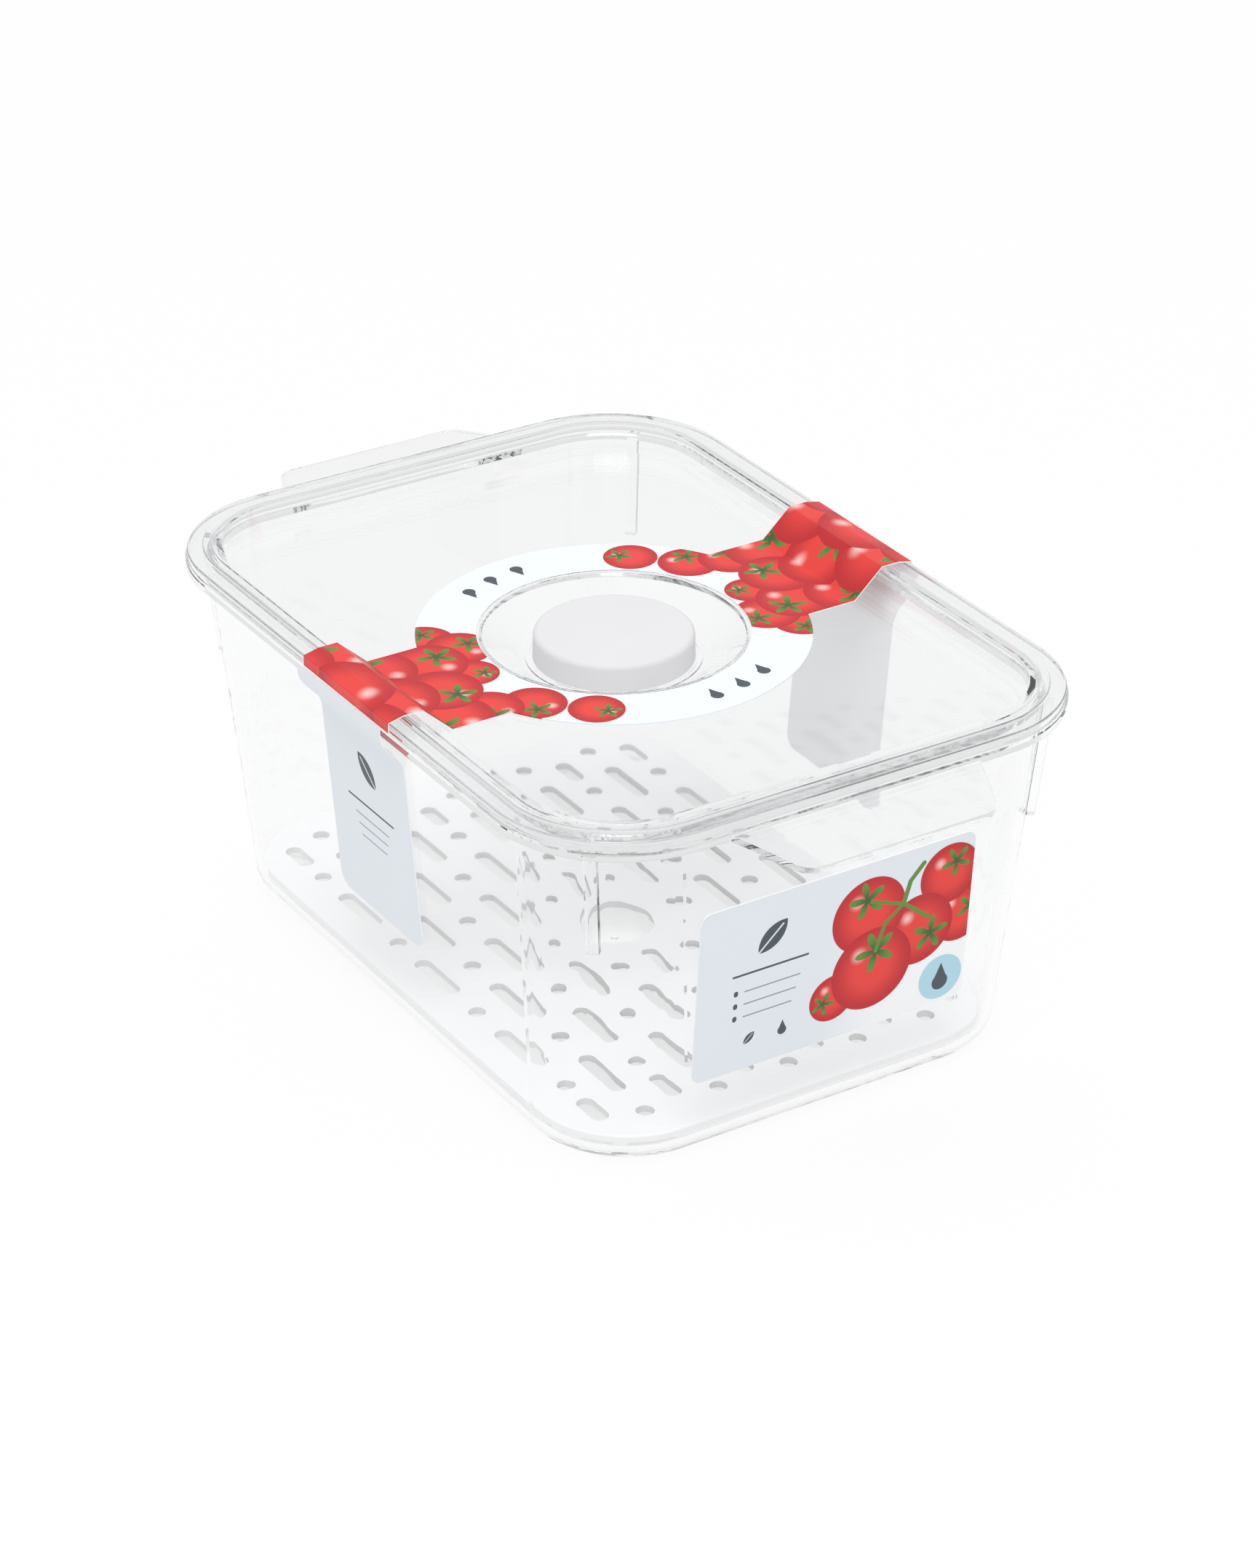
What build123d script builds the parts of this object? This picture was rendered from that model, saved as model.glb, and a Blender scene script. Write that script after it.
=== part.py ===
# A clear food storage container for the refrigerator: a tapered bin with a
# rim flange and two end handles, a drop-in lid with a recessed vent knob,
# a perforated drain tray, and the paper labels it is sold with.
# X runs across the short side, Y along the long side, Z up.
# The origin is the centre of the foot. All sizes are in millimetres.
from build123d import *
from math import atan, atan2, copysign, cos, hypot, sqrt, tan
import os

# Bin
rim_width = 155.0
rim_length = 212.0
rim_radius = 34.0
bin_height = 93.7
flange_thick = 2.7
flange_reach = 5.5
flange_edge_round = 0.9
wall = 2.2
wall_taper = 7.3
foot_corner = 27.25
foot_round = 6.0
floor_thick = 2.4
inner_round = 4.0
foot_ring = 7.0
foot_recess = 0.6
gate_radius = 1.1
gate_rise = 0.35

# End handles
handle_reach = 19.0
handle_root = 70.0
handle_tip = 53.0
handle_step = 0.8
handle_drop = 2.4
handle_thick = 1.6
handle_corner = 6.0
handle_blend = 7.0

# Corner ribs under the flange
rib_width = 3.0
rib_proud = 2.1
rib_length = 28.0

# Lid
lid_seat = 0.1
lid_edge_gap = 0.5
lid_flange = 2.4
border_inset = 4.4
border_rise = 0.9
border_width = 4.9
panel_drop = 7.4
slope_run = 2.2
lid_wall = 1.8
groove_inset = 1.9
groove_width = 0.7
groove_depth = 0.4
lid_edge_round = 0.5

# Vent bowl in the middle of the lid
bowl_radius = 33.0
bowl_depth = 6.5
bowl_floor_radius = 23.9
bowl_foot_round = 5.0
ridge_width = 0.8
ridge_rise = 0.45
collar_gap = 1.1
collar_width = 1.0
collar_rise = 0.6
vent_holes = 6
vent_hole_radius = 2.3
vent_circle = 9.2

# Vent knob, seal and retaining clip
knob_radius = 20.1
knob_height = 7.4
knob_lift_gap = 0.3
knob_edge = 1.5
knob_dome = 0.4
knob_wall = 2.0
knob_draft = 0.2
carrier_wall = 1.0
seal_middle = 15.0
seal_width = 2.8
seal_height = 2.7
seal_seat = 1.2
seal_fit = 0.05
stem_radius = 4.5
stem_gap = 0.4
stem_end = 1.6
knob_travel = 4.0
travel_spare = 0.1
clip_radius = 8.5
clip_thick = 2.0
clip_groove = 0.85
clip_mouth = 6.4
clip_fit = 0.05
clip_corner = 1.0

# Drain tray
tray_gap = 1.5
tray_thick = 1.8
tray_stand = 2.6
tray_round = 0.5
finger_hole = 10.5
slot_width = 4.5
slot_length = 18.6
hole_radius = 2.25
pattern_x = 10.2
pattern_y = 39.5
pattern_margin = 4.5
slot_bridge = 5.0
end_margin = 12.5
tray_rib = 1.2
tray_rib_lanes = (1.5, 4.5)
tray_rib_margin = 12.0

# Paper labels
paper = 0.3
paper_gap = 0.06
band_width = 41.5
band_offset = 2.75
ring_outer = 49.3
ring_gap = 0.4
wing_run = 6.0
leg_width = 40.5
leg_offset = 0.3
leg_bottom = 29.0
leg_sweep = 11.0
leg_corner = 4.0
front_width = 78.0
front_height = 48.0
front_low = 21.0
front_shift = 0.85
front_corner = 3.0

# Levels and outlines worked out from the sizes above
half_width = rim_width / 2
half_length = rim_length / 2
flange_low = bin_height - flange_thick
draft = wall_taper / flange_low
foot_inset = flange_reach + wall_taper
lid_low = bin_height + lid_seat
lid_flange_top = lid_low + lid_flange
border_top = lid_flange_top + border_rise
slope_inset = border_inset + border_width
panel_inset = slope_inset + slope_run
panel_top = border_top - panel_drop
panel_low = panel_top - lid_wall
bowl_floor = panel_top - bowl_depth
bowl_under = bowl_floor - lid_wall
ridge_outer = bowl_radius + ridge_width
collar_inner = knob_radius + collar_gap
stem_hole = stem_radius + stem_gap
knob_low = bowl_floor + knob_lift_gap
knob_top = knob_low + knob_height
knob_ceiling = knob_top - knob_dome - knob_wall
seal_outer = seal_middle + seal_width / 2
seal_inner = seal_middle - seal_width / 2
seal_top = bowl_floor + seal_height
carrier_low = seal_top - seal_seat
clip_top = bowl_under - knob_travel - travel_spare
clip_low = clip_top - clip_thick
stem_neck = stem_radius - clip_groove
stem_low = clip_low - stem_end
tray_low = floor_thick + tray_stand
ring_inner = ridge_outer + ring_gap
wing_half = band_offset + band_width / 2 + paper


def rim_outline(inset, corner):
    """A rounded rectangle, set in from the outline of the rim."""
    RectangleRounded(rim_width - 2 * inset, rim_length - 2 * inset, corner)


def wall_face(z):
    """Distance of the outer wall from the rim's outline at height z."""
    return foot_inset - draft * z


def corner_face(z):
    """Reach of the outer wall at height z, along a diagonal from the centre of the rim's corner arc."""
    radius = foot_corner + (rim_radius - flange_reach - foot_corner) * z / flange_low
    return radius + sqrt(2) * (rim_radius - wall_face(z) - radius)


# Flange round the mouth of the bin, with its lower edge rounded
with BuildPart() as flange:
    with BuildSketch(Plane.XY.offset(flange_low)):
        rim_outline(0, rim_radius)
    extrude(amount=flange_thick)
    fillet(flange.faces().sort_by(Axis.Z)[0].edges(), flange_edge_round)

# End handle: a plate that runs on outward from the flange, a step below its
# top, and dips toward the free edge
handle_start = half_length - flange_reach
handle_end = half_length + handle_reach
handle_middle = half_length + handle_reach * 0.35
handle_top = bin_height - handle_step
handle_under = handle_top - handle_thick
with BuildPart() as handle_plate:
    with BuildSketch(Plane.YZ):
        with BuildLine():
            upper = Spline(
                (handle_start, handle_top),
                (handle_middle, handle_top - handle_drop * 0.3),
                (handle_end, handle_top - handle_drop),
                tangents=[(1, 0), (1, -0.12)],
            )
            lower = Spline(
                (handle_end, handle_under - handle_drop),
                (handle_middle, handle_under - handle_drop * 0.3),
                (handle_start, handle_under),
                tangents=[(-1, 0.12), (-1, 0)],
            )
            Line(upper @ 1, lower @ 0)
            Line(lower @ 1, upper @ 0)
        make_face()
    extrude(amount=handle_root / 2 + handle_blend, both=True)
    with BuildSketch(Plane.XY) as handle_plan:
        with BuildLine():
            Polyline(
                (-handle_root / 2 - handle_blend, handle_start),
                (-handle_root / 2 - handle_blend, half_length - handle_step),
                (-handle_root / 2, half_length - handle_step),
                (-handle_tip / 2, handle_end),
                (handle_tip / 2, handle_end),
                (handle_root / 2, half_length - handle_step),
                (handle_root / 2 + handle_blend, half_length - handle_step),
                (handle_root / 2 + handle_blend, handle_start),
                close=True,
            )
        make_face()
        plan_rows = handle_plan.vertices().group_by(Axis.Y)
        fillet(plan_rows[-1], handle_corner)
        fillet(plan_rows[1].sort_by(Axis.X)[1:3], handle_blend)
    extrude(amount=bin_height, mode=Mode.INTERSECT)

# Hollow of the bin, with a rounded edge round the floor
with BuildPart() as hollow:
    with BuildSketch(Plane.XY.offset(floor_thick)):
        rim_outline(wall_face(floor_thick) + wall, foot_corner - wall)
    with BuildSketch(Plane.XY.offset(bin_height)):
        rim_outline(wall_face(bin_height) + wall, rim_radius - flange_reach - wall)
    loft(ruled=True)
    fillet(hollow.faces().sort_by(Axis.Z)[0].edges(), inner_round)

# Bin: tapered shell with flange, handles, corner ribs and a foot ring
with BuildPart() as bin_shell:
    with BuildSketch(Plane.XY):
        rim_outline(foot_inset, foot_corner)
    with BuildSketch(Plane.XY.offset(flange_low)):
        rim_outline(flange_reach, rim_radius - flange_reach)
    loft(ruled=True)
    fillet(bin_shell.faces().sort_by(Axis.Z)[0].edges(), foot_round)
    add(flange.part)
    add(handle_plate.part)
    add(handle_plate.part.rotate(Axis.Z, 180))

    # Ribs on the four rounded corners, square-cut at the bottom
    rib_foot = flange_low - rib_length
    for sign_x in (-1, 1):
        for sign_y in (-1, 1):
            outward = Vector(sign_x, sign_y, 0).normalized()
            arc_centre = (sign_x * (half_width - rim_radius), sign_y * (half_length - rim_radius), 0)
            with BuildSketch(Plane(arc_centre, x_dir=outward, z_dir=outward.cross(Vector(0, 0, 1)))):
                Polygon(
                    (corner_face(rib_foot) - wall / 2, rib_foot),
                    (corner_face(rib_foot) + rib_proud, rib_foot),
                    (corner_face(flange_low) + rib_proud, flange_low),
                    (corner_face(flange_low) - wall / 2, flange_low),
                    align=None,
                )
            extrude(amount=rib_width / 2, both=True)
    add(hollow.part, mode=Mode.SUBTRACT)

    # Shallow recess that leaves a foot ring, and the moulding mark inside
    with BuildSketch(Plane.XY):
        rim_outline(foot_inset + foot_round + foot_ring, foot_corner - foot_round - foot_ring)
    extrude(amount=foot_recess, mode=Mode.SUBTRACT)
    with BuildSketch(Plane.XY.offset(floor_thick)):
        Circle(gate_radius)
    extrude(amount=gate_rise)
bin_shell.part.label = "bin"

# Body of the lid's recessed part, with the slope of its wall outside
slope = slope_run / panel_drop
plug_top = slope_inset - lid_wall / cos(atan(slope)) + slope * lid_wall
plug_low = plug_top + slope * (border_top - lid_wall - panel_low)
with BuildPart() as plug:
    with BuildSketch(Plane.XY.offset(border_top - lid_wall)):
        rim_outline(plug_top, rim_radius - plug_top)
    with BuildSketch(Plane.XY.offset(panel_low)):
        rim_outline(plug_low, rim_radius - plug_low)
    loft(ruled=True)

# Hollow above the lid's panel
with BuildPart() as dish:
    with BuildSketch(Plane.XY.offset(border_top)):
        rim_outline(slope_inset, rim_radius - slope_inset)
    with BuildSketch(Plane.XY.offset(panel_top)):
        rim_outline(panel_inset, rim_radius - panel_inset)
    loft(ruled=True)

# Lid: flange that rests on the bin's flange, raised border, sloped inner
# wall, recessed panel and the vent bowl in its middle
with BuildPart() as lid_shell:
    with BuildSketch(Plane.XY.offset(lid_low)):
        rim_outline(lid_edge_gap, rim_radius - lid_edge_gap)
    extrude(amount=lid_flange)
    fillet(lid_shell.faces().sort_by(Axis.Z)[-1].edges(), lid_edge_round)
    with BuildSketch(Plane.XY.offset(lid_flange_top)):
        rim_outline(border_inset, rim_radius - border_inset)
    extrude(amount=border_rise)
    fillet(lid_shell.faces().sort_by(Axis.Z)[-1].edges(), lid_edge_round)

    # Fine groove along the top of the border
    groove_outer = border_inset + groove_inset
    groove_inner = groove_outer + groove_width
    with BuildSketch(Plane.XY.offset(border_top - groove_depth)) as groove:
        rim_outline(groove_outer, rim_radius - groove_outer)
        RectangleRounded(
            rim_width - 2 * groove_inner,
            rim_length - 2 * groove_inner,
            rim_radius - groove_inner,
            mode=Mode.SUBTRACT,
        )
    extrude(amount=groove_depth, mode=Mode.SUBTRACT)

    # Channel open from below under the border, then the recessed part
    channel_inset = border_inset + lid_wall
    with BuildSketch(Plane.XY.offset(lid_low)):
        rim_outline(channel_inset, rim_radius - channel_inset)
    extrude(amount=border_top - lid_wall - lid_low, mode=Mode.SUBTRACT)
    add(plug.part)
    add(dish.part, mode=Mode.SUBTRACT)

    # Vent bowl: a turned wall of even thickness, with a thin raised edge
    with BuildSketch(Plane.XY.offset(panel_low)):
        Circle(ridge_outer)
    extrude(amount=lid_wall, mode=Mode.SUBTRACT)
    bowl_slope = atan2(bowl_depth, bowl_radius - bowl_floor_radius)
    under_shift = lid_wall * tan(bowl_slope / 2)
    with BuildSketch(Plane.XZ) as bowl_section:
        with BuildLine():
            Polyline(
                (ridge_outer, panel_low),
                (ridge_outer, panel_top + ridge_rise),
                (bowl_radius, panel_top + ridge_rise),
                (bowl_radius, panel_top),
                (bowl_floor_radius, bowl_floor),
                (stem_hole, bowl_floor),
                (stem_hole, bowl_under),
                (bowl_floor_radius + under_shift, bowl_under),
                (bowl_radius + under_shift, panel_low),
                close=True,
            )
        make_face()
        fillet(bowl_section.vertices().sort_by(Axis.X)[2:4], bowl_foot_round)
    revolve(axis=Axis.Z)

    # Vent holes round the stem's hole, and the collar round the knob
    with BuildSketch(Plane.XY.offset(bowl_under)):
        with PolarLocations(vent_circle, vent_holes):
            Circle(vent_hole_radius)
    extrude(amount=lid_wall, mode=Mode.SUBTRACT)
    with BuildSketch(Plane.XY.offset(bowl_floor)):
        Circle(collar_inner + collar_width)
        Circle(collar_inner, mode=Mode.SUBTRACT)
    extrude(amount=collar_rise)
lid_shell.part.label = "lid"

# Vent knob: a turned cap with a skirt, a carrier for the seal and a stem
with BuildPart() as vent_knob:
    with BuildSketch(Plane.XZ) as knob_section:
        with BuildLine():
            crown = ThreePointArc(
                (0, knob_top),
                (knob_radius / 2, knob_top - knob_dome / 4),
                (knob_radius, knob_top - knob_dome),
            )
            Polyline(
                crown @ 1,
                (knob_radius + knob_draft, knob_low),
                (knob_radius + knob_draft - knob_wall, knob_low),
                (knob_radius - knob_wall, knob_ceiling),
                (seal_outer + carrier_wall, knob_ceiling),
                (seal_outer + carrier_wall, carrier_low),
                (seal_outer, carrier_low),
                (seal_outer, seal_top),
                (seal_inner, seal_top),
                (seal_inner, carrier_low),
                (seal_inner - carrier_wall, carrier_low),
                (seal_inner - carrier_wall, knob_ceiling),
                (stem_radius, knob_ceiling),
                (stem_radius, clip_top),
                (stem_neck, clip_top),
                (stem_neck, clip_low),
                (stem_radius, clip_low),
                (stem_neck, stem_low),
                (0, stem_low),
                crown @ 0,
            )
        make_face()
        fillet(knob_section.vertices().sort_by(Axis.X)[-2:].sort_by(Axis.Y)[-1], knob_edge)
    revolve(axis=Axis.Z)
vent_knob.part.label = "vent_knob"

# Seal ring that closes the vent holes off when the knob is down
with BuildPart() as vent_seal:
    with BuildSketch(Plane.XY.offset(bowl_floor)):
        Circle(seal_outer - seal_fit)
        Circle(seal_inner + seal_fit, mode=Mode.SUBTRACT)
    extrude(amount=seal_height)
vent_seal.part.label = "vent_seal"

# Clip that snaps into the neck of the stem under the lid and stops the knob
with BuildPart() as vent_clip:
    with BuildSketch(Plane.XY.offset(clip_low)):
        Circle(clip_radius)
        Circle(stem_neck + clip_fit, mode=Mode.SUBTRACT)
        with Locations((clip_radius / 2, 0)):
            Rectangle(clip_radius, clip_mouth, mode=Mode.SUBTRACT)
    extrude(amount=clip_thick)
    fillet(vent_clip.edges().filter_by(Axis.Z).group_by(Axis.X)[-1], clip_corner)
vent_clip.part.label = "vent_clip"

# Drain tray: a thin plate on ribs, with slots and round holes in brick order
# round a finger hole. The slots beside the finger hole and at the two ends
# are shorter than the others.
tray_inset = wall_face(tray_low) + wall + tray_gap
tray_half_x = half_width - tray_inset
tray_half_y = half_length - tray_inset
tray_corner = foot_corner - wall - tray_gap
pattern_columns = int((tray_half_x - pattern_margin) // pattern_x)
pattern_rows = int((tray_half_y - pattern_margin) // (pattern_y / 2))


def on_tray(x, reach):
    """True where a cut in the column at x that reaches so far from the middle keeps the tray's margin."""
    side = max(abs(x) + slot_width / 2 - tray_half_x + tray_corner, 0)
    along = max(reach - tray_half_y + tray_corner, 0)
    return hypot(side, along) < tray_corner - pattern_margin


slots = []
holes = []
for column in range(-pattern_columns, pattern_columns + 1):
    x = column * pattern_x
    for row in range(-pattern_rows, pattern_rows + 1):
        y = row * pattern_y / 2
        near = abs(y) - slot_length / 2
        far = abs(y) + slot_length / 2
        if column == 0:
            near = max(near, finger_hole + slot_bridge)
        if far > tray_half_y - pattern_margin:
            near = abs(y) - pattern_y / 2 + hole_radius + slot_bridge
            far = tray_half_y - end_margin
        if (column + row) % 2 == 0:
            if hypot(x, y) > finger_hole + slot_bridge and on_tray(x, abs(y) + hole_radius):
                holes.append((x, y))
        elif hypot(x, max(near, 0)) > finger_hole + slot_width and far - near > slot_width and on_tray(x, far):
            slots.append((x, copysign((near + far) / 2, y), far - near))
with BuildPart() as drain_tray:
    with BuildSketch(Plane.XY.offset(tray_low)):
        RectangleRounded(2 * tray_half_x, 2 * tray_half_y, tray_corner)
    extrude(amount=tray_thick)
    fillet(drain_tray.faces().sort_by(Axis.Z)[-1].edges(), tray_round)
    with BuildSketch(Plane.XY.offset(floor_thick)):
        for lane in tray_rib_lanes:
            with Locations((-lane * pattern_x, 0), (lane * pattern_x, 0)):
                Rectangle(tray_rib, 2 * (tray_half_y - tray_rib_margin))
    extrude(amount=tray_stand)
    with BuildSketch(Plane.XY.offset(tray_low)):
        Circle(finger_hole)
        with Locations(*holes):
            Circle(hole_radius)
        for x, y, length in slots:
            with Locations((x, y)):
                SlotOverall(length, slot_width, rotation=90)
    extrude(amount=tray_thick, mode=Mode.SUBTRACT)
drain_tray.part.label = "drain_tray"

# Wing of the paper band: it leaves the panel, climbs over the border and
# hangs over the lid's edge on one long side
with BuildPart() as wing:
    with BuildSketch(Plane.XZ.offset(-wing_half)):
        with BuildLine():
            Polyline(
                (ring_inner, panel_top + paper_gap),
                (half_width - panel_inset - wing_run, panel_top + paper_gap),
                (half_width - slope_inset - paper_gap, border_top + paper_gap),
                (half_width - border_inset, border_top + paper_gap),
                (half_width - lid_edge_gap + paper_gap, lid_flange_top + paper_gap),
                (half_width - lid_edge_gap + paper_gap, lid_low),
            )
            offset(amount=paper, side=Side.LEFT)
        make_face()
    extrude(amount=2 * wing_half)
    with BuildSketch(Plane.XY.offset(panel_top)):
        with Locations(((half_width + ring_inner) / 2, band_offset)):
            Rectangle(half_width - ring_inner + 2 * paper, band_width)
        Circle(ring_inner, mode=Mode.SUBTRACT)
    extrude(amount=border_top - panel_top + 2 * paper, mode=Mode.INTERSECT)

# Paper band on the lid: a ring round the vent bowl with a wing on each side
with BuildPart() as band_label:
    with BuildSketch(Plane.XY.offset(panel_top + paper_gap)):
        Circle(ring_outer)
        Circle(ring_inner, mode=Mode.SUBTRACT)
    extrude(amount=paper)
    add(wing.part)
    add(wing.part.rotate(Axis.Z, 180))
band_label.part.label = "band_label"

# Leg of the band: from the edge of the flange it sweeps in to the long wall
# and follows the wall down. The other leg is the same, turned half round.
leg_settle = flange_low - leg_sweep


def leg_line(shift):
    """The leg's run down the bin in section, moved out by shift, and the two ends of that run."""
    out = half_width + paper_gap + shift
    drop = Line((out, bin_height - paper_gap), (out, flange_low + flange_edge_round))
    settle = (out - wall_face(leg_settle), leg_settle)
    sweep_in = Spline(drop @ 1, settle, tangents=[(0, -1), (-draft, -1)])
    run = Line(sweep_in @ 1, (out - wall_face(leg_bottom), leg_bottom))
    return drop @ 0, run @ 1


with BuildPart() as right_label:
    with BuildSketch(Plane.XZ.offset(leg_offset - leg_width / 2)):
        with BuildLine():
            inner_ends = leg_line(0)
            outer_ends = leg_line(paper)
            Line(inner_ends[0], outer_ends[0])
            Line(inner_ends[1], outer_ends[1])
        make_face()
    extrude(amount=leg_width)
    with BuildSketch(Plane.YZ) as leg_front:
        with Locations((-leg_offset, (leg_bottom + bin_height) / 2)):
            Rectangle(leg_width, bin_height - leg_bottom)
        fillet(leg_front.vertices().group_by(Axis.Y)[0], leg_corner)
    extrude(amount=rim_width, mode=Mode.INTERSECT)
right_label.part.label = "right_label"
left_label = right_label.part.rotate(Axis.Z, 180)
left_label.label = "left_label"

# Label on the front wall, in the wall's own slope
front_middle = front_low + front_height / 2
front_y = paper_gap + half_length - wall_face(front_middle)
front_plane = Plane((front_shift, -front_y, front_middle), x_dir=(1, 0, 0), z_dir=(0, -1, -draft))
with BuildPart() as front_label:
    with BuildSketch(front_plane):
        RectangleRounded(front_width, front_height * hypot(1, draft), front_corner)
    extrude(amount=paper)
front_label.part.label = "front_label"

os.makedirs("parts", exist_ok=True)
for piece in (
    bin_shell.part,
    lid_shell.part,
    vent_knob.part,
    vent_seal.part,
    vent_clip.part,
    drain_tray.part,
    band_label.part,
    left_label,
    right_label.part,
    front_label.part,
):
    export_step(piece, f"parts/{piece.label}.step")
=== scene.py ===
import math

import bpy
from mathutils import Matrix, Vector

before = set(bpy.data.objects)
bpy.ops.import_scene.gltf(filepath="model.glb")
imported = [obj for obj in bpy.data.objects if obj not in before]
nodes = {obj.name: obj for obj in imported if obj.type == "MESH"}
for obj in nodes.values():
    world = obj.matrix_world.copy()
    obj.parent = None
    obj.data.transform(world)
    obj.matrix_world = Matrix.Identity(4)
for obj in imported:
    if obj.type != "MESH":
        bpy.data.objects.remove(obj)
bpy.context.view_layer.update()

# %% [markdown]
# # A clear food storage container
# This lesson dresses a refrigerator bin that is already built to size: a
# clear bin, a clear lid with a vent knob, a white drain tray and the paper
# labels it is sold with. The solid pieces keep their shape, so the work is
# in the finishes: plastic that bends light, satin moulded parts and a
# printed paper band.

mm = 0.001
print("solid pieces:", ", ".join(sorted(nodes)))

# %% [markdown]
# ## The camera
# A product picture like this is taken from above one corner with a long
# lens. The camera is described by what it looks at, the direction it looks
# from, and its distance. Turning that into a place takes one line of
# trigonometry, which is easier to adjust than three loose coordinates.

# %% Camera over the front left corner
look_at = Vector((4.57, 1.00, 44.85)) * mm
azimuth = math.radians(-32.12)
elevation = math.radians(28.84)
distance = 1.160
focal_pixels = 6300.6
image_height = 2156

back = Vector((
    math.sin(azimuth) * math.cos(elevation),
    -math.cos(azimuth) * math.cos(elevation),
    math.sin(elevation),
))
camera_data = bpy.data.cameras.new("camera")
camera_data.sensor_width = 36
camera_data.lens = focal_pixels / image_height * camera_data.sensor_width
camera_data.clip_start = 0.05
camera_data.clip_end = 50
camera = bpy.data.objects.new("camera", camera_data)
camera.location = look_at + back * distance
camera.rotation_mode = "QUATERNION"
camera.rotation_quaternion = (-back).to_track_quat("-Z", "Y")
bpy.context.scene.collection.objects.link(camera)
bpy.context.scene.camera = camera
print("camera lens:", round(camera_data.lens, 1), "mm, at", [round(x, 3) for x in camera.location])

# %% [markdown]
# ## Shader maths as plain expressions
# Patterns such as a printed picture are sums on coordinates. Writing them
# with one node at a time is slow to read, so a small class stands for the
# output of a node, and adding, multiplying or comparing two of them adds the
# Math node that does it. One method adds any other kind of node.

# %% A value in a node tree
class Wire:
    """The output of a node. Arithmetic on it adds Math nodes to the same tree."""

    def __init__(self, tree, socket=None):
        self.tree = tree
        self.socket = socket

    def node(self, kind, settings=None, inputs=None, output=0):
        """Adds a node, sets it up, then gives its sockets their values or links."""
        made = self.tree.nodes.new("ShaderNode" + kind)
        for name, value in (settings or {}).items():
            setattr(made, name, value)
        for name, value in (inputs or {}).items():
            if isinstance(value, Wire):
                self.tree.links.new(value.socket, made.inputs[name])
            else:
                made.inputs[name].default_value = value
        return Wire(self.tree, made.outputs[output])

    def math(self, operation, *values):
        return self.node("Math", {"operation": operation}, dict(enumerate(values)))

    def __add__(self, other):
        return self.math("ADD", self, other)

    def __sub__(self, other):
        return self.math("SUBTRACT", self, other)

    def __mul__(self, other):
        return self.math("MULTIPLY", self, other)

    def __truediv__(self, other):
        return self.math("DIVIDE", self, other)

    def __pow__(self, other):
        return self.math("POWER", self, other)

    def __radd__(self, other):
        return self.math("ADD", other, self)

    def __rsub__(self, other):
        return self.math("SUBTRACT", other, self)

    def __rmul__(self, other):
        return self.math("MULTIPLY", other, self)

    def __rtruediv__(self, other):
        return self.math("DIVIDE", other, self)

    def __abs__(self):
        return self.math("ABSOLUTE", self)

    def higher(self, other):
        return self.math("MAXIMUM", self, other)

    def lower(self, other):
        return self.math("MINIMUM", self, other)

    def fade(self, start, end, low=0.0, high=1.0):
        """Goes smoothly from low to high while this value goes from start to end."""
        return self.node(
            "MapRange",
            {"interpolation_type": "SMOOTHSTEP"},
            {"Value": self, "From Min": start, "From Max": end, "To Min": low, "To Max": high},
        )

    def blend(self, under, over):
        """A colour that is under where this value is 0 and over where it is 1."""
        sockets = {0: self, 6: colour(under), 7: colour(over)}
        return self.node("Mix", {"data_type": "RGBA"}, sockets, output=2)


def colour(value):
    """A colour written as three numbers gets its fourth; a link stays as it is."""
    return value if isinstance(value, Wire) else (*value, 1.0)


def linear(red, green, blue):
    """A colour as picked from a screen, from 0 to 255, as the shader wants it."""
    shares = (red / 255, green / 255, blue / 255)
    return tuple(c / 12.92 if c < 0.04045 else ((c + 0.055) / 1.055) ** 2.4 for c in shares)


# %% [markdown]
# ## A finish starts from one shader
# Every finish here is a Principled BSDF. What is the same all over a piece,
# such as how clear the plastic is, is set on the shader itself. What changes
# over the surface is built with the class above and linked in.

# %% Start a finish, and give it to a piece
def finish(name, **constants):
    """A new material with one Principled shader, and a Wire to build on."""
    material = bpy.data.materials.new(name)
    material.use_nodes = True
    shader = material.node_tree.nodes["Principled BSDF"]
    for socket, value in constants.items():
        shader.inputs[socket.replace("_", " ").title().replace("Ior", "IOR")].default_value = value
    return material, shader, Wire(material.node_tree)


def connect(wire, shader, socket):
    wire.tree.links.new(wire.socket, shader.inputs[socket])


def place(wire):
    """The place of a point on the piece, in millimetres."""
    point = wire.node("TexCoord", output="Object")
    return wire.node("VectorMath", {"operation": "SCALE"}, {0: point, "Scale": 1 / mm})


def parts(vector):
    """The x, y and z of a vector, as three values."""
    return [vector.node("SeparateXYZ", inputs={0: vector}, output=axis) for axis in "XYZ"]


def dress(material, *names):
    for name in names:
        mesh = nodes[name].data
        mesh.materials.clear()
        mesh.materials.append(material)
    print(material.name, "on", ", ".join(names))


# %% [markdown]
# ## Clear plastic
# The bin and the lid are moulded in a clear, hard plastic. Glass-like
# shading alone leaves such a thing nearly invisible on white: what draws its
# edges is the little light that long paths through the wall lose. So the
# shader lets light through with the bend of such plastics, and a weak
# absorption inside the solid turns long paths grey. A very low, slow wave
# in the surface keeps reflections from looking like polished glass.

# %% Clear plastic for the bin and the lid
plastic_bend = 1.49
edge_grey = (0.62, 0.66, 0.68, 1)
edge_density = 3.0
wave_scale = 0.035
wave_strength = 0.01
wave_height = 0.4 * mm


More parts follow.
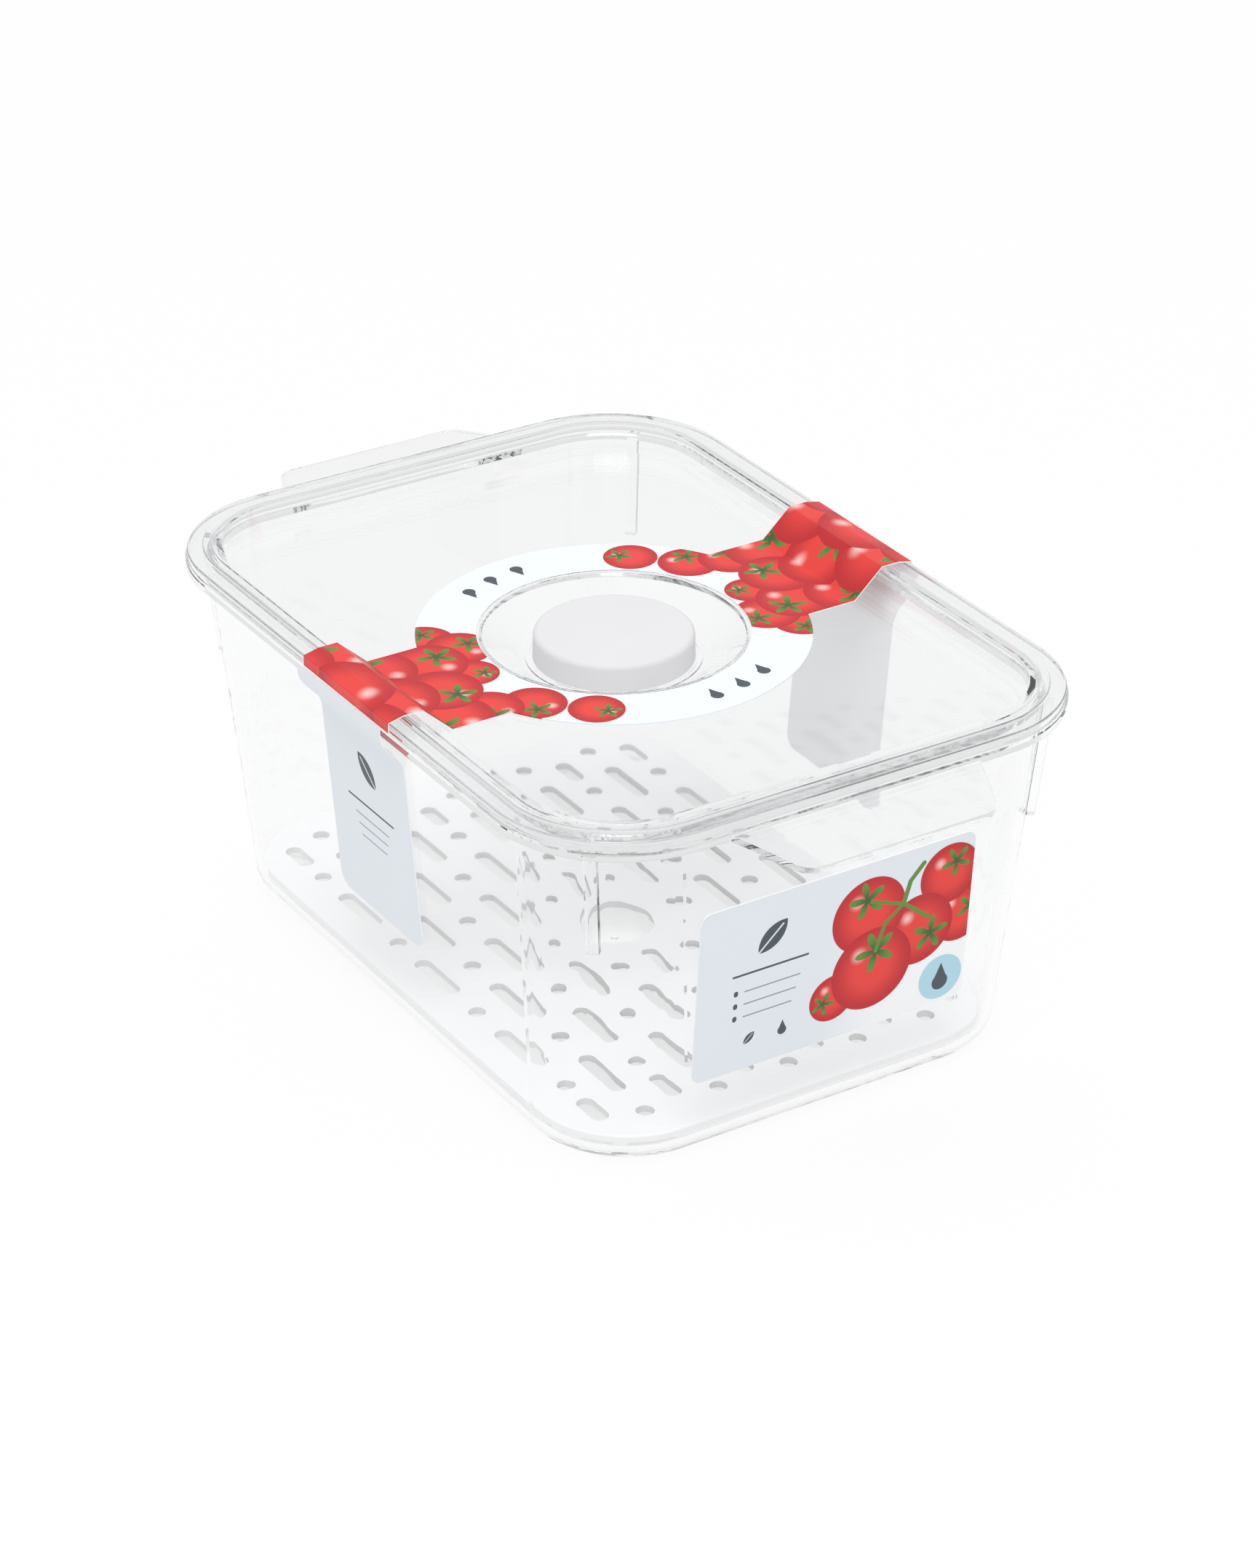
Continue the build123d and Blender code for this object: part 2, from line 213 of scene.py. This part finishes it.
def clear_plastic(name, tint):
    material, shader, wire = finish(
        name, base_color=(*tint, 1), roughness=0.02, ior=plastic_bend, transmission_weight=1.0
    )
    wave = wire.node("TexNoise", inputs={"Vector": place(wire), "Scale": wave_scale, "Detail": 1.0})
    bump = wire.node("Bump", inputs={"Strength": wave_strength, "Distance": wave_height, "Height": wave})
    connect(bump, shader, "Normal")
    loss = wire.node("VolumeAbsorption", inputs={"Color": edge_grey, "Density": edge_density})
    wire.tree.links.new(loss.socket, wire.tree.nodes["Material Output"].inputs["Volume"])
    return material


dress(clear_plastic("clear_body", (0.985, 0.987, 0.988)), "bin")
dress(clear_plastic("clear_lid", (0.965, 0.968, 0.97)), "lid")

# %% [markdown]
# ## Light through the clear plastic
# Light gets into a real bin through its walls, but a renderer finds such
# light slowly: a shadow ray stops at the plastic as if it were solid, and
# the tray inside comes out dark. The two clear pieces could be made thinner
# or paler, which would also change how they look. Instead two kinds of ray
# pass them by: those that look for a shadow, and those that gather soft
# light. The eye and reflections still meet the plastic.

# %% Let soft light reach the inside
for name in ("bin", "lid"):
    nodes[name].visible_shadow = False
    nodes[name].visible_diffuse = False
print("bin and lid let shadow and diffuse rays by")

# %% [markdown]
# ## Satin moulded pieces
# The knob is a light grey cap with a fine matte grain, as a spark-eroded
# mould leaves it. The tray is white and a little smoother. Both are one
# colour with a fine grain, so noise drives a slight bump and a slight change
# of roughness.

# %% Matte grain for the knob, the tray and the clip
cloud_scale = 0.06
grain_strength = 0.25
roughness_spread = 0.05


def matte_plastic(name, tint, roughness, grain, depth):
    """Moulded plastic, with the size and depth of its grain in millimetres."""
    material, shader, wire = finish(name, base_color=(*tint, 1), ior=1.46)
    point = place(wire)
    fine = wire.node("TexNoise", inputs={"Vector": point, "Scale": 1 / grain, "Detail": 2.0})
    cloud = wire.node("TexNoise", inputs={"Vector": point, "Scale": cloud_scale, "Detail": 2.0})
    tone = cloud.fade(0.3, 0.7, 0.985, 1.0)
    shade = wire.node("VectorMath", {"operation": "SCALE"}, {0: tint, "Scale": tone})
    connect(shade, shader, "Base Color")
    rough = fine.fade(0.2, 0.8, roughness - roughness_spread, roughness + roughness_spread)
    connect(rough, shader, "Roughness")
    bump = wire.node("Bump", inputs={"Strength": grain_strength, "Distance": depth * mm, "Height": fine})
    connect(bump, shader, "Normal")
    return material


dress(matte_plastic("knob_grey", linear(226, 226, 228), 0.55, 0.35, 0.05), "vent_knob")
dress(matte_plastic("clip_white", linear(238, 238, 238), 0.45, 0.6, 0.03), "vent_clip")
dress(matte_plastic("tray_white", linear(246, 247, 248), 0.42, 0.8, 0.04), "drain_tray")

# %% [markdown]
# ## Silicone seal
# The seal is a soft milky ring. A little light goes into it and comes out
# again, so it has some subsurface scattering and no sharp highlight.

# %% Silicone
milky = linear(226, 228, 230)
silicone, silicone_shader, silicone_wire = finish(
    "silicone", base_color=(*milky, 1), ior=1.41, subsurface_weight=0.3, subsurface_scale=2 * mm
)
dust = silicone_wire.node("TexNoise", inputs={"Vector": place(silicone_wire), "Scale": 1.5, "Detail": 3.0})
connect(dust.fade(0.3, 0.7, 0.5, 0.65), silicone_shader, "Roughness")
dress(silicone, "vent_seal")

# %% [markdown]
# ## Printed paper
# The labels are coated paper in a pale blue grey, printed on the outer side
# only and white behind. A picture on the whole sheet would show through the
# clear walls from within. So the picture is laid on where the surface faces
# outward, and plain white paper everywhere else. That white back is the
# plain paper, and it is also painted light: it stands in for the light that
# shines through the thin paper from outside, so a back seen through the
# plastic comes out pale.

# %% Coated paper, printed on one side
paper_blue = linear(228, 234, 240)
# On the backs of the labels this white is also painted light, for light shining through the thin paper; on
# the front label the same white is print.
paper_white = linear(247, 249, 251)


def paper_finish(name):
    """Coated paper: smooth, with fibres that show only as a faint unevenness."""
    material, shader, wire = finish(name, ior=1.45)
    point = place(wire)
    fibre = wire.node("TexNoise", inputs={"Vector": point, "Scale": 2.2, "Detail": 3.0})
    connect(fibre.fade(0.3, 0.7, 0.36, 0.46), shader, "Roughness")
    bump = wire.node("Bump", inputs={"Strength": 0.15, "Distance": 0.02 * mm, "Height": fibre})
    connect(bump, shader, "Normal")
    return material, shader, parts(point)


def facing(wire):
    """The three parts of the direction that the surface faces, on the piece."""
    return parts(wire.node("TexCoord", output="Normal"))


def print_on(shader, outward, picture):
    """The picture on the side that faces outward, and plain white paper on the back, which is also painted
    light shining through the paper.
    """
    connect(outward.fade(0.2, 0.4).blend(paper_white, picture), shader, "Base Color")


# %% [markdown]
# ## Tomatoes from discs
# The print is a bunch of cherry tomatoes: round, red, with a small green
# star. One tomato is a disc that is darker toward its edge, a bright spot
# for the light, and a star drawn in polar coordinates. Later fruits cover
# earlier ones, so a picture is a list of places and sizes, and a loop paints
# them in order.

# %% One tomato, and a bunch of them
skin_bright = linear(232, 58, 52)
skin_deep = linear(190, 24, 34)
leaf_green = linear(96, 140, 52)
leaf_dark = linear(52, 92, 34)
gloss = linear(255, 214, 208)
tomato_edge = 0.14
star_points = 5


def round_spot(x, y, centre, radius, softness):
    """How far a point is from the centre, and 1 inside the disc and 0 outside."""
    away = ((x - centre[0]) ** 2.0 + (y - centre[1]) ** 2.0) ** 0.5
    return away, away.fade(radius + softness, radius - softness)


def tomato(under, x, y, centre, radius, turn):
    """Paints one tomato over a colour. The star leans toward the angle turn."""
    away, disc = round_spot(x, y, centre, radius, tomato_edge)
    skin = away.fade(radius * 0.35, radius, 0.0, 1.0).blend(skin_bright, skin_deep)
    lit = (centre[0] - 0.35 * radius, centre[1] + 0.42 * radius)
    skin = (round_spot(x, y, lit, radius * 0.12, radius * 0.14)[1] * 0.85).blend(skin, gloss)
    top = (centre[0] + 0.42 * radius * math.cos(turn), centre[1] + 0.42 * radius * math.sin(turn))
    from_top = round_spot(x, y, top, radius * 0.5, tomato_edge)[0]
    angle = x.math("ARCTAN2", y - top[1], x - top[0])
    swing = angle * (star_points / 2) + turn
    petal = abs(swing.math("COSINE", swing))
    reach = petal ** 2.0 * (radius * 0.42) + radius * 0.1
    star = (reach - from_top).fade(0.0, tomato_edge)
    green = from_top.fade(0.0, radius * 0.45).blend(leaf_dark, leaf_green)
    return disc.blend(under, star.blend(skin, green))


def bunch(picture, x, y, fruits):
    """Paints fruits given as across, along, radius and the star's lean in degrees."""
    for across, along, radius, turn in fruits:
        picture = tomato(picture, x, y, (across, along), radius, math.radians(turn))
    return picture


# %% [markdown]
# ## The band over the lid
# Both wings of the band carry the same picture, turned half round. Instead
# of painting it twice, the coordinates are turned: times the sign of x, the
# left wing reads the same numbers as the right one. Small drops stand on the
# ring between the wings.

# %% A plain drop
print_edge = 0.08
slate = linear(70, 80, 88)


def drop_icon(under, x, y, centre, size, ink):
    """A round drop with a pointed top."""
    belly = round_spot(x, y, (centre[0], centre[1] - 0.2 * size), 0.42 * size, print_edge)[1]
    side = (centre[1] + 0.8 * size - y) * 0.42 - abs(x - centre[0])
    point = side.fade(-print_edge, print_edge) * (y - centre[1]).fade(-print_edge, print_edge)
    return belly.higher(point).blend(under, ink)


# %% Print of the band
ring_colour = linear(238, 243, 248)
ring_middle = 41.7
ring_drop = 4
wing_fruits = [
    (25.5, 33, 7, 130), (43, -20, 8, 250), (37.5, -12, 8.5, 200), (36.5, 22.5, 8, 70),
    (47, 19, 8.5, 80), (41, 1, 6.5, 150), (48, -9, 10, 210), (58, 18, 11.5, 45), (52, 5, 10, 120),
    (61, -12, 10.5, 280), (64, 3, 11, 330), (74, 18, 12.5, 20), (73, -12, 12.5, 300), (84, 22, 12, 20),
    (84, -15, 12, 20), (79, 3, 13.5, 350),
]
band, band_shader, (x, y, z) = paper_finish("label_band")
side = x.math("SIGN", x)
across = x * side
along = y * side
picture = bunch(ring_colour, across, along, wing_fruits)
for turn in (-62, -74, -86):
    spot = (ring_middle * math.cos(math.radians(turn)), ring_middle * math.sin(math.radians(turn)))
    picture = drop_icon(picture, across, along, spot, ring_drop, slate)
facing_x, _, facing_z = facing(x)
print_on(band_shader, facing_z.higher(facing_x * side), picture)
dress(band, "band_label")

# %% [markdown]
# ## The legs of the band and the front label
# The legs are bare pale paper with a leaf and a few ruled lines. The front
# label has the same paper, a bunch of fruit in its right half and a pale
# disc below it with a plain drop.

# %% Ruled lines and a leaf
pencil = linear(150, 158, 165)
fine_line = 0.2
bold_line = 0.3


def stroke(x, y, start, end, half_width):
    """1 on a line between two points, as wide as a stalk or a ruled line."""
    run = (end[0] - start[0], end[1] - start[1])
    share = ((x - start[0]) * run[0] + (y - start[1]) * run[1]) / (run[0] ** 2 + run[1] ** 2)
    share = share.higher(0.0).lower(1.0)
    off_x = x - start[0] - share * run[0]
    off_y = y - start[1] - share * run[1]
    away = (off_x ** 2.0 + off_y ** 2.0) ** 0.5
    return away.fade(half_width + print_edge, half_width - print_edge)


def strokes(under, x, y, points, half_width, ink):
    """Paints a line through several points over a colour."""
    for start, end in zip(points, points[1:]):
        under = stroke(x, y, start, end, half_width).blend(under, ink)
    return under


def leaf_icon(under, x, y, centre, size, ink):
    """A pointed leaf where two discs overlap, with its middle vein left bare."""
    shift = 0.36 * size
    radius = 0.85 * size
    first = round_spot(x, y, (centre[0] + shift, centre[1] - shift), radius, print_edge)[1]
    second = round_spot(x, y, (centre[0] - shift, centre[1] + shift), radius, print_edge)[1]
    tip = 0.34 * size
    foot = (centre[0] - 1.6 * tip, centre[1] - 1.6 * tip)
    vein = stroke(x, y, foot, (centre[0] + tip, centre[1] + tip), 0.03 * size)
    return (first * second * (1 - vein)).blend(under, ink)


# %% Print of the legs
legs, legs_shader, (x, y, z) = paper_finish("label_legs")
picture = leaf_icon(paper_blue, y, z, (0, 71), 8, slate)
picture = strokes(picture, y, z, [(-11, 60), (11, 60)], bold_line, slate)
for row in range(3):
    length = 8 - row
    level = 56 - 3 * row
    picture = strokes(picture, y, z, [(-length, level), (length, level)], fine_line, pencil)
print_on(legs_shader, facing(x)[0] * x.math("SIGN", x), picture)
dress(legs, "left_label", "right_label")

# %% Fruit on the front label
front_fruits = [
    (1, 33, 6.5, 200), (37, 46, 8, 20), (33, 58.5, 8.5, 60), (25, 45, 10, 330), (10, 54, 10.5, 100),
    (12, 38, 11.5, 80),
]
vine = [
    ([(12.8, 42.8), (15, 50), (20, 54), (27.5, 48)], 0.55),
    ([(20, 54), (21.5, 60), (25, 64)], 0.7),
    ([(20, 54), (10.5, 57.5)], 0.5),
]
front, front_shader, (x, y, z) = paper_finish("label_front")
picture = (x.fade(-5, 18) * z.fade(58, 40)).blend(paper_blue, paper_white)
picture = bunch(picture, x, z, front_fruits)
for points, half_width in vine:
    picture = strokes(picture, x, z, points, half_width, leaf_green)

# %% Leaf, lines and disc on the front label
line_start = -24.5
bullet = -27
disc_colour = linear(178, 216, 232)

picture = leaf_icon(picture, x, z, (-17.5, 57), 8, slate)
picture = strokes(picture, x, z, [(-28, 48.5), (-7, 48.5)], bold_line, slate)
for row in range(3):
    level = 43.5 - 3.6 * row
    picture = strokes(picture, x, z, [(bullet, level - 0.2), (bullet, level + 0.2)], 0.6, slate)
    picture = strokes(picture, x, z, [(line_start, level), (-9 - row, level)], fine_line, pencil)
picture = leaf_icon(picture, x, z, (-22.5, 29.5), 3, slate)
picture = drop_icon(picture, x, z, (-13, 29.2), 3, slate)
disc = round_spot(x, z, (33, 28.5), 6.3, 0.1)[1]
picture = disc.blend(picture, disc_colour)
picture = drop_icon(picture, x, z, (33, 28.2), 5.5, slate)
print_on(front_shader, facing(x)[1] * -1.0, picture)
dress(front, "front_label")

# %% [markdown]
# ## Floor and light
# The container stands on a wide white floor under soft light. The floor is
# partly self-lit for the eye, so that it reads as plain white and still
# keeps the container's faint shadow. Clear plastic shows what is around it,
# so the sky seen in it is white above and turns grey near the horizon, which
# draws its walls and edges.

# %% Floor
floor_glow = 0.85
floor_size = 12

bpy.ops.object.select_all(action="DESELECT")
bpy.ops.mesh.primitive_plane_add(size=floor_size, location=(0, 0, 0))
floor = bpy.context.object
floor.name = "floor"
floor_material, floor_shader, wire = finish("floor_white", base_color=(0.88, 0.88, 0.88, 1), roughness=0.9)


def ray_is(tree, *kinds):
    """1 for a ray of any of these kinds, and 0 for the rest."""
    path = tree.nodes.new("ShaderNodeLightPath")
    seen = Wire(tree, path.outputs[kinds[0]])
    for kind in kinds[1:]:
        seen = seen.higher(Wire(tree, path.outputs[kind]))
    return seen


seen = ray_is(wire.tree, "Is Camera Ray", "Is Glossy Ray", "Is Transmission Ray")
glow = wire.node("Emission", inputs={"Color": (1, 1, 1, 1), "Strength": 1.0})
lit_floor = Wire(wire.tree, floor_shader.outputs[0])
surface = wire.node("MixShader", inputs={0: seen * floor_glow, 1: lit_floor, 2: glow})
wire.tree.links.new(surface.socket, wire.tree.nodes["Material Output"].inputs["Surface"])
floor.data.materials.append(floor_material)
print("floor of", floor_size, "m, self-lit by", floor_glow)

# %% [markdown]
# ## The sky
# One sky serves three purposes. The eye sees plain white. Plastic mirrors
# and bends a sky that is greyer near the horizon. Soft light comes mostly
# from above, so that upright faces are darker than level ones.

# %% Sky
world = bpy.data.worlds.new("studio")
bpy.context.scene.world = world
world.use_nodes = True
sky = Wire(world.node_tree)
camera_ray = ray_is(sky.tree, "Is Camera Ray")
mirrored = ray_is(sky.tree, "Is Glossy Ray", "Is Transmission Ray")
height = parts(sky.node("TexCoord", output="Generated"))[2]
reflected = height.fade(0.0, 0.9, 0.72, 0.9)
diffused = height.fade(0.0, 0.8, 0.56, 1.06)
strength = camera_ray + (1 - camera_ray) * (mirrored * reflected + (1 - mirrored) * diffused)
background = sky.tree.nodes["Background"]
sky.tree.links.new(strength.socket, background.inputs["Strength"])
background.inputs["Color"].default_value = (1, 1, 1, 1)
print("sky made with", len(sky.tree.nodes), "nodes")

# %% Soft lamp above the front left
lamp_data = bpy.data.lights.new("soft_lamp", "AREA")
lamp_data.shape = "DISK"
lamp_data.size = 1.2
lamp_data.energy = 9
lamp = bpy.data.objects.new("soft_lamp", lamp_data)
lamp.location = (-0.5, -0.7, 1.95)
lamp.rotation_mode = "QUATERNION"
lamp.rotation_quaternion = (-lamp.location).to_track_quat("-Z", "Y")
bpy.context.scene.collection.objects.link(lamp)
print("lamp of", lamp_data.energy, "W at", [round(x, 2) for x in lamp.location])

# %% [markdown]
# ## The picture's settings
# Standard view transform shows a colour as it is written. Light may bounce
# many times, because it goes round and round inside a clear rim, and where
# it is cut off the rim turns black.

# %% Close
clear_bounces = 64
soft_bounces = 3

bpy.context.scene.view_settings.view_transform = "Standard"
light_paths = bpy.context.scene.cycles
light_paths.max_bounces = clear_bounces
light_paths.glossy_bounces = clear_bounces
light_paths.transmission_bounces = clear_bounces
light_paths.diffuse_bounces = soft_bounces
